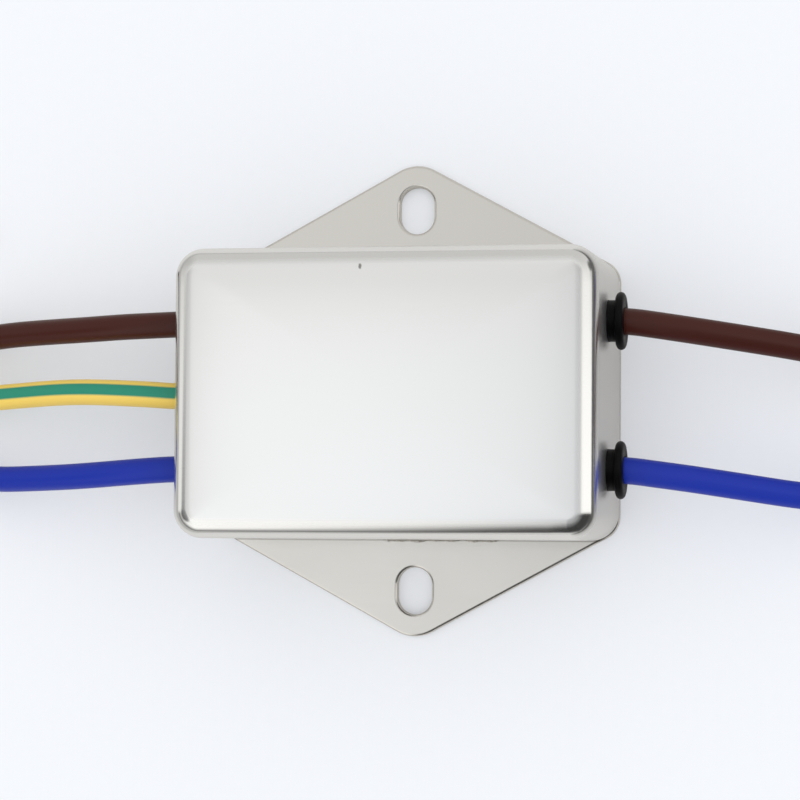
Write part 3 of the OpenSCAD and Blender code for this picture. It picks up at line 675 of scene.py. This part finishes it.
can_plating, can_tree, can_shader = rolled_plate("can_plating", CAN_TIN, 0.11, 0.1)
plate_plating, plate_tree, plate_shader = rolled_plate("plate_plating", PLATE_TIN, 0.23, 0.02)

# %% [markdown]
# The solder in the seam is dull and grey, and broken by fine specks of flux about 0.15 mm across.

# %% Solder with specks of flux
seam_solder, tree, shader = finish_of("seam_solder", "#D4D1CB", 0.4, metallic=1.0)
place = add(tree, "TexCoord").outputs["Object"]
specks = add(tree, "TexNoise", {"Vector": place, "Scale": 6.5 / MM, "Detail": 1.0}).outputs["Fac"]
dirty = add(tree, "MapRange", {"Value": specks, "From Min": 0.42, "From Max": 0.6}).outputs[0]
flux = add(tree, "Mix", {"Factor": dirty, "A": linear("#D4D1CB"), "B": linear("#A29C94")},
           data_type="RGBA").outputs["Result"]
tree.links.new(flux, shader.inputs["Base Color"])

# %% [markdown]
# The drawing ring leaves the can's walls rougher than its top, so they mirror only a blur. It burnishes the
# rounded edges, while the flat top keeps the sheet's own satin skin. That scatters about a quarter of the
# light, so the top is never as dark or as bright as what it mirrors. A thin dark line of flux and painted
# shade runs on the plate along the can's foot on the -Y side, for a fifth of a millimetre.

# %% Rougher walls, satin top, and the line of flux and painted shade on the plate
facing = add(can_tree, "NewGeometry").outputs["Normal"]
upness = add(can_tree, "SeparateXYZ", {"Vector": facing}).outputs["Z"]
wall_rough = add(can_tree, "MapRange", {
    "Value": upness, "From Min": 0.12, "From Max": 0.64, "To Min": 0.22, "To Max": 0.0}).outputs[0]
top_rough = can_shader.inputs["Roughness"].links[0].from_socket
summed = add(can_tree, "Math", {0: top_rough, 1: wall_rough}, operation="ADD").outputs[0]
can_tree.links.new(summed, can_shader.inputs["Roughness"])
satin = add(can_tree, "MapRange", {
    "Value": upness, "From Min": 0.9, "From Max": 0.99, "To Min": 1.0, "To Max": 0.72}).outputs[0]
can_tree.links.new(satin, can_shader.inputs["Metallic"])

place = add(plate_tree, "TexCoord").outputs["Object"]
along_y = add(plate_tree, "SeparateXYZ", {"Vector": place}).outputs["Y"]
FOOT_Y = -CAN_W / 2
near_foot = add(plate_tree, "MapRange", {
    "Value": along_y, "From Min": FOOT_Y - 0.2 * MM,
    "From Max": FOOT_Y - 0.04 * MM, "To Max": 0.6}).outputs[0]
before_foot = add(plate_tree, "Math", {0: along_y, 1: FOOT_Y + 0.3 * MM}, operation="LESS_THAN").outputs[0]
footed = add(plate_tree, "Math", {0: near_foot, 1: before_foot}, operation="MULTIPLY").outputs[0]
# Flux and painted shade: the plate's colour is darkened in a thin line along the foot of the -Y wall.
flux_and_shade = add(plate_tree, "Mix", {"Factor": footed, "A": linear(PLATE_TIN), "B": linear("#7D7871")},
              data_type="RGBA").outputs["Result"]
plate_tree.links.new(flux_and_shade, plate_shader.inputs["Base Color"])

# %% [markdown]
# The can has one small scuff near its long edge, where the plating was nicked. It is a short dark mark,
# about 0.35 mm by 0.7 mm. The mapping turns it into a circle of radius 1 about its middle, and a little
# noise makes its outline ragged.

# %% A nick in the plating
NICK_X, NICK_Y = -2.2 * MM, 12.9 * MM
NICK_HALF_W, NICK_HALF_L = 0.18 * MM, 0.36 * MM
place = add(can_tree, "TexCoord").outputs["Object"]
ragged = add(can_tree, "TexNoise", {"Vector": place, "Scale": 4 / MM, "Detail": 1.0}).outputs["Color"]
centred = add(can_tree, "Mapping", {
    "Vector": place, "Location": (-NICK_X / NICK_HALF_W, -NICK_Y / NICK_HALF_L, 0),
    "Scale": (1 / NICK_HALF_W, 1 / NICK_HALF_L, 0)}).outputs[0]
shifted = add(can_tree, "VectorMath", {0: ragged, 1: centred}, operation="ADD").outputs[0]
recentred = add(can_tree, "VectorMath", {0: shifted, 1: (0.5, 0.5, 0.5)}, operation="SUBTRACT")
flattened = add(can_tree, "VectorMath", {0: recentred.outputs[0], 1: (1, 1, 0)},
                operation="MULTIPLY").outputs[0]
distance = add(can_tree, "VectorMath", {0: flattened}, operation="LENGTH").outputs["Value"]
mark = add(can_tree, "MapRange", {
    "Value": distance, "From Min": 0.6, "From Max": 1.1, "To Min": 0.75, "To Max": 0.0}).outputs[0]
scuffed = add(can_tree, "Mix", {"Factor": mark, "A": linear(CAN_TIN), "B": linear("#5A5652")},
              data_type="RGBA").outputs["Result"]
can_tree.links.new(scuffed, can_shader.inputs["Base Color"])

# %% [markdown]
# ## PVC of the leads
# The insulation is PVC, extruded smooth, with a slight unevenness that bends its highlight. The earth
# lead's green stripes lie opposite each other. The turn round the tube, from the tube's own map, is doubled,
# shifted and folded, which gives the distance from the middle of the nearest stripe.


# %% Extruded PVC
STRIPE_STEPS = (("MULTIPLY", 2.0), ("SUBTRACT", 0.072), ("FRACT", 0.0), ("SUBTRACT", 0.5), ("ABSOLUTE", 0.0))


def pvc(name, colour, stripe=None):
    """Extruded PVC, plain or with two stripes of a second colour along it."""
    material, tree, shader = finish_of(name, colour, 0.36)
    shader.inputs["Specular IOR Level"].default_value = 0.28
    place = add(tree, "TexCoord").outputs["Object"]
    waves = add(tree, "TexNoise", {"Vector": place, "Scale": 0.26 / MM, "Detail": 2.0}).outputs["Fac"]
    bump = add(tree, "Bump", {"Height": waves, "Strength": 0.25, "Distance": 0.04 * MM}).outputs[0]
    tree.links.new(bump, shader.inputs["Normal"])
    if stripe:
        uv = add(tree, "UVMap", uv_map="tube").outputs[0]
        away = add(tree, "SeparateXYZ", {"Vector": uv}).outputs["Y"]
        for operation, value in STRIPE_STEPS:
            away = add(tree, "Math", {0: away, 1: value}, operation=operation).outputs[0]
        inside = add(tree, "MapRange", {
            "Value": away, "From Min": 0.125, "From Max": 0.175, "To Min": 1.0, "To Max": 0.0}).outputs[0]
        mixed = add(tree, "Mix", {"Factor": inside, "A": linear(colour), "B": linear(stripe)},
                    data_type="RGBA").outputs["Result"]
        tree.links.new(mixed, shader.inputs["Base Color"])
    return material


LEAD_PVC = {
    "brown": pvc("brown_pvc", "#431910"),
    "blue": pvc("blue_pvc", "#122EA4"),
    "earth": pvc("earth_pvc", "#FCD868", stripe="#2C8F74"),
}

# %% [markdown]
# ## Surfaces with a grain
# Rubber from a mould, nylon, phenolic board, pressed paper, ferrite and dipped coatings have one thing in
# common: a grain of a known size that changes the colour a little, roughens the gloss in spots, and
# stands up by some hundredths of a millimetre. The next function makes them all from the grain's size,
# the two colours it moves between, and its height. A stretch along one axis turns the grain into fibres,
# strands or turns of wire.


# %% Grain by its real size
def grained(name, colour, second, roughness, grain_mm, height_mm, metallic=0.0, stretch=(1, 1, 1)):
    """A finish whose noise has the given grain size, and whose colour and gloss follow that noise."""
    material, tree, shader = finish_of(name, colour, roughness, metallic)
    place = add(tree, "TexCoord").outputs["Object"]
    scale = tuple(1 / (grain_mm * MM * s) for s in stretch)
    laid = add(tree, "Mapping", {"Vector": place, "Scale": scale}).outputs[0]
    grain = add(tree, "TexNoise", {"Vector": laid, "Scale": 1.0, "Detail": 2.0}).outputs["Fac"]
    spread = add(tree, "MapRange", {"Value": grain, "From Min": 0.35, "From Max": 0.65}).outputs[0]
    tint = add(tree, "Mix", {"Factor": spread, "A": linear(colour), "B": linear(second)},
               data_type="RGBA").outputs["Result"]
    gloss = add(tree, "MapRange", {
        "Value": grain, "From Min": 0.3, "From Max": 0.7,
        "To Min": roughness * 0.85, "To Max": roughness * 1.15}).outputs[0]
    bump = add(tree, "Bump", {"Height": grain, "Strength": 0.5, "Distance": height_mm * MM}).outputs[0]
    tree.links.new(tint, shader.inputs["Base Color"])
    tree.links.new(gloss, shader.inputs["Roughness"])
    tree.links.new(bump, shader.inputs["Normal"])
    return material, shader


# %% [markdown]
# ## Rubber, nylon, copper and solder
# Black rubber takes a fine matt skin from its mould and mirrors little. Nylon is a cloudy off-white. The
# stripped ends are tinned strands, which lie along X there, so the grain is stretched along X. Solder
# sets in smooth pools with a faint frost.

# %% Small parts outside, and solder
grommet_rubber, rubber_shader = grained("grommet_rubber", "#060607", "#09090A", 0.45, 0.12, 0.004)
rubber_shader.inputs["Specular IOR Level"].default_value = 0.12
SMALL = {  # nodes, two colours, roughness, grain mm, height mm, metallic, stretch
    "tie_nylon": (["tie_line", "tie_load"], "#EAE8E0", "#E3E0D6", 0.4, 0.5, 0.004),
    "spacer_nylon": (["board_spacers"], "#E6E2D5", "#DEDACB", 0.45, 0.5, 0.004),
    "tinned_copper": (["conductor_" + name for name in ROUTES],
                      "#D3D1CC", "#ABA8A1", 0.3, 0.25, 0.03, 1.0, (14, 1, 1)),
    "solder": (["solder_joints"], "#D8D9DA", "#C3C4C6", 0.33, 0.35, 0.006, 1.0),
}

# %% [markdown]
# ## Parts inside the can
# The inner parts are closed in by the can, but the model can be opened, so each has its own finish. The
# board is brown phenolic paper with its fibres along X. The insulation card is grey-green fish paper. The
# choke has a sintered ferrite core, a moulded divider, and two windings of enamelled copper wire. The film
# capacitor has a yellow box, the disc capacitors a dipped blue coating, and the resistor a dull green one.

# %% Inner finishes
INNER = {  # in the same columns
    "board_phenolic": (["circuit_board"], "#8F6E3F", "#7D5F34", 0.5, 0.25, 0.006, 0.0, (5, 1, 1)),
    "card_fishpaper": (["insulation_card"], "#82917F", "#71816F", 0.8, 0.3, 0.012, 0.0, (3, 1, 1)),
    "ferrite": (["choke_core"], "#34353A", "#26272A", 0.55, 0.15, 0.008),
    "divider_plastic": (["choke_divider"], "#DAD6C8", "#D0CBBB", 0.45, 0.4, 0.004),
    "enamelled_wire": (["choke_winding_live", "choke_winding_neutral"],
                       "#AF6134", "#8E4722", 0.27, 0.3, 0.02, 1.0, (1, 1, 8)),
    "film_box": (["x_capacitor"], "#DBB63E", "#CFA730", 0.4, 0.35, 0.006),
    "disc_coating": (["y_capacitor_live", "y_capacitor_neutral"],
                     "#30749F", "#24618C", 0.4, 0.6, 0.01),
    "resistor_coating": (["bleed_resistor"], "#84956F", "#748561", 0.5, 0.3, 0.008),
    "lug_brass": (["earth_lug"], "#CDB67E", "#BDA469", 0.3, 0.3, 0.004, 1.0, (6, 1, 1)),
}


def dress(piece, material):
    """Give every material slot of a piece the same finish."""
    if not piece.material_slots:
        piece.data.materials.append(material)
    for slot in piece.material_slots:
        slot.material = material


node_objects = {o.name: o for o in bpy.data.objects if o.type == "MESH"}
for name, (nodes, *look) in (*SMALL.items(), *INNER.items()):
    finish = grained(name, *look)[0]
    for node in nodes:
        dress(node_objects[node], finish)
dress(bead, seam_solder)
dress(can, can_plating)
dress(plate, plate_plating)
for name in EXITS:
    dress(grommets[name], grommet_rubber)
    dress(leads[name], LEAD_PVC[name.split("_")[1]])

# %% [markdown]
# ## Bench
# The filter lies on a plain pale sheet of paper. Polished metal shows the sheet far more plainly than the
# eye does, so mirrored rays see it a little greyer, and much darker away from the can along X, where the
# sheet rises into the shade of the studio. A little fibre changes the paper's tone. To the camera the sheet
# adds a fifth of its own flat tone, which keeps the soft shadow but makes it paler.

# %% Bench
SHEET_HALF = 1.2
bench = mesh_object(
    "bench", np.array([[-1, -1, 0], [1, -1, 0], [1, 1, 0], [-1, 1, 0]]) * SHEET_HALF, [(0, 1, 2, 3)])
bench_paper, tree, shader = finish_of("bench_paper", "#F4F6F9", 0.7)
place = add(tree, "TexCoord").outputs["Object"]
along_x = add(tree, "SeparateXYZ", {"Vector": place}).outputs["X"]
right_far = add(tree, "MapRange", {
    "Value": along_x, "From Min": 22 * MM, "From Max": 90 * MM}).outputs[0]
left_far = add(tree, "MapRange", {
    "Value": along_x, "From Min": -40 * MM, "From Max": -100 * MM, "To Max": 0.45}).outputs[0]
far = add(tree, "Math", {0: right_far, 1: left_far}, operation="ADD").outputs[0]
fibres = add(tree, "TexNoise", {"Vector": place, "Scale": 0.9 / MM, "Detail": 2.0}).outputs["Fac"]
paper = add(tree, "Mix", {"Factor": fibres, "A": linear("#F3F5F8"), "B": linear("#F5F7FA")},
            data_type="RGBA").outputs["Result"]
greyed = add(tree, "Mix", {"Factor": far, "A": linear("#E2E0DC"), "B": linear("#52504C")},
             data_type="RGBA").outputs["Result"]
rays = add(tree, "LightPath").outputs
shown = add(tree, "Mix", {"Factor": rays["Is Glossy Ray"], "A": paper, "B": greyed},
            data_type="RGBA").outputs["Result"]
tree.links.new(shown, shader.inputs["Base Color"])
seen_share = add(tree, "Math", {0: rays["Is Camera Ray"], 1: 0.22}, operation="MULTIPLY").outputs[0]
flat = add(tree, "Emission", {"Color": linear("#F6F8FC"), "Strength": 1.0}).outputs[0]
softened = add(tree, "MixShader", {0: seen_share, 1: shader.outputs[0], 2: flat}).outputs[0]
tree.links.new(softened, tree.nodes["Material Output"].inputs["Surface"])
dress(bench, bench_paper)

# %% [markdown]
# ## Light
# Matt surfaces see an even light, stronger from above than from the sides, so that the shade round the can
# stays pale, and a little stronger from +X, which gives the soft shade on the can's -X side. Polished metal
# shows its whole surroundings, so those are drawn as levels that depend on direction alone, where 1 is the
# plain level. A fade is a level that changes smoothly along one axis, and a patch is a round part of the
# sky with its own level. All of them are multiplied together:
# - beyond +Y stands a greyer wall, and it is greyest low down;
# - the light tent is brightest low beyond +X, and dimmer beyond -X;
# - the camera and its arm darken a patch just beyond the zenith;
# - three small patches are a stand, a lamp's hood and the gap beside the tent.

# %% Directions, fades and patches of the surroundings
world = bpy.data.worlds.new("studio")
world.use_nodes = True
tree = world.node_tree
tree.nodes.clear()
direction = add(tree, "TexCoord").outputs["Generated"]
parts = add(tree, "SeparateXYZ", {"Vector": direction})
side_x, side_y, height = (parts.outputs[k] for k in "XYZ")

FADES = {  # measured along, from, to, level before, level after
    "beyond_y": (side_y, 0.04, 0.12, 1.11, 0.80),
    "beyond_y_low": (side_y, 0.1, 0.7, 1.0, 0.81),
    "lit_end": (side_x, 0.3, 0.8, 1.0, 1.08),
    "dim_end": (side_x, -0.35, -0.75, 1.0, 0.82),
}
PATCHES = {  # azimuth, degrees from the zenith, inner and outer radius in degrees, level
    "overhead": (0, 11, 3, 25, 0.53),
    "stand": (180, 33, 6, 19, 0.6),
    "hood": (-163, 53, 11, 21, 0.12),
    "gap": (22, 84, 4, 20, 0.2),
}
levels = {}
for name, (value, start, stop, low, high) in FADES.items():
    levels[name] = add(tree, "MapRange", {
        "Value": value, "From Min": start, "From Max": stop, "To Min": low, "To Max": high},
        interpolation_type="SMOOTHSTEP").outputs[0]
for name, (azimuth, from_zenith, inner_deg, outer_deg, level) in PATCHES.items():
    a, e = math.radians(azimuth), math.radians(from_zenith)
    middle = (math.cos(a) * math.sin(e), math.sin(a) * math.sin(e), math.cos(e))
    near = add(tree, "VectorMath", {0: direction, 1: middle}, operation="DOT_PRODUCT")
    levels[name] = add(tree, "MapRange", {
        "Value": near.outputs["Value"], "From Min": math.cos(math.radians(outer_deg)),
        "From Max": math.cos(math.radians(inner_deg)), "To Min": 1.0, "To Max": level},
        interpolation_type="SMOOTHSTEP").outputs[0]
print("levels:", list(levels))

# %% [markdown]
# The front of the tent, on the -Y side, is open. It shows the dark room as a wedge, which is a thin dark
# strip above the horizon towards -X, and fills almost the whole front towards +X. The wedge's lower and
# upper limits are heights that grow with the direction's X, so they are worked out first and then linked
# into the fade that goes from dark to light. The table also holds the ramps of the next cell.

# %% Ramps, and the dark wedge in front
along_y = add(tree, "Math", {0: side_y}, operation="ABSOLUTE").outputs[0]
RAMPS = {  # measured along, from, to, value before, value after
    "dark_below": (side_x, -0.20, -0.12, 0.14, 0.86),
    "light_above": (side_x, -0.25, -0.13, 0.42, 1.3),
    "dark_level": (side_x, -0.24, -0.14, 0.20, 0.04),
    "light_level": (side_x, -0.27, -0.19, 1.04, 0.93),
    "foot_from": (side_x, -0.20, -0.14, -0.04, 0.08),
    "foot_to": (side_x, -0.20, -0.14, 0.10, 0.28),
    "foot_level": (side_x, -0.05, 0.4, 0.72, 0.08),
    "front": (side_y, -0.04, -0.16, 0.0, 1.0),
    "below_ends": (side_x, -0.5, 0.5, 0.45, 0.08),
    "by_the_walls": (along_y, 0.5, 0.85, 0.0, 1.0),
    "above": (height, -0.03, 0.07, 0.0, 1.0),
    "high_up": (height, 0.93, 0.975, 0.0, 1.0),
    "this_side": (side_y, 0.1, 0.04, 0.0, 1.0),
    "from_above": (height, 0.0, 1.0, 0.6, 1.22),
}
ramp = {}
for name, (value, start, stop, low, high) in RAMPS.items():
    ramp[name] = add(tree, "MapRange", {
        "Value": value, "From Min": start, "From Max": stop, "To Min": low, "To Max": high}).outputs[0]
rising = add(tree, "MapRange", {
    "Value": height, "From Min": ramp["dark_below"], "From Max": ramp["light_above"],
    "To Min": ramp["dark_level"], "To Max": ramp["light_level"]}).outputs[0]
off_foot = add(tree, "MapRange", {
    "Value": height, "From Min": ramp["foot_from"], "From Max": ramp["foot_to"]}).outputs[0]
footed = add(tree, "Mix", {"Factor": off_foot, "A": ramp["foot_level"], "B": rising}).outputs["Result"]
levels["front"] = add(tree, "Mix", {"Factor": ramp["front"], "A": 1.0, "B": footed}).outputs["Result"]
upper = levels["front"]
for name in (*FADES, *PATCHES):
    upper = add(tree, "Math", {0: upper, 1: levels[name]}, operation="MULTIPLY").outputs[0]

# %% [markdown]
# Past the end of the sheet lies the dark studio floor. It is darkest beyond +X, and the walls to both
# sides of the can throw some light on it. The light from straight overhead is a little cooler than the
# tent's walls. A matt surface and the camera see their own plain colours instead.

# %% World shader
below = add(tree, "Mix", {
    "Factor": ramp["by_the_walls"], "A": ramp["below_ends"], "B": 0.66}).outputs["Result"]
level = add(tree, "Mix", {"Factor": ramp["above"], "A": below, "B": upper}).outputs["Result"]
cool = add(tree, "Math", {0: ramp["high_up"], 1: ramp["this_side"]}, operation="MULTIPLY").outputs[0]
tent = add(tree, "Mix", {"Factor": cool, "A": linear("#FFFEFB"), "B": linear("#FAFDFF")},
           data_type="RGBA").outputs["Result"]
brighter = add(tree, "MapRange", {
    "Value": side_x, "From Min": -1.0, "From Max": 1.0, "To Min": 0.98, "To Max": 1.14},
    interpolation_type="SMOOTHSTEP").outputs[0]
mirrored = add(tree, "Background", {"Color": tent, "Strength": level})
soft = add(tree, "Math", {0: brighter, 1: ramp["from_above"]}, operation="MULTIPLY").outputs[0]
even = add(tree, "Background", {"Color": linear("#FCFDFF"), "Strength": soft})
seen = add(tree, "Background", {"Color": linear("#F2F4F8"), "Strength": 1.0})
rays = add(tree, "LightPath")
lit = add(tree, "MixShader", {
    0: rays.outputs["Is Glossy Ray"], 1: even.outputs[0], 2: mirrored.outputs[0]}).outputs[0]
both = add(tree, "MixShader", {0: rays.outputs["Is Camera Ray"], 1: lit, 2: seen.outputs[0]})
add(tree, "OutputWorld", {"Surface": both.outputs[0]})
bpy.context.scene.world = world
bpy.context.scene.view_settings.view_transform = "Standard"
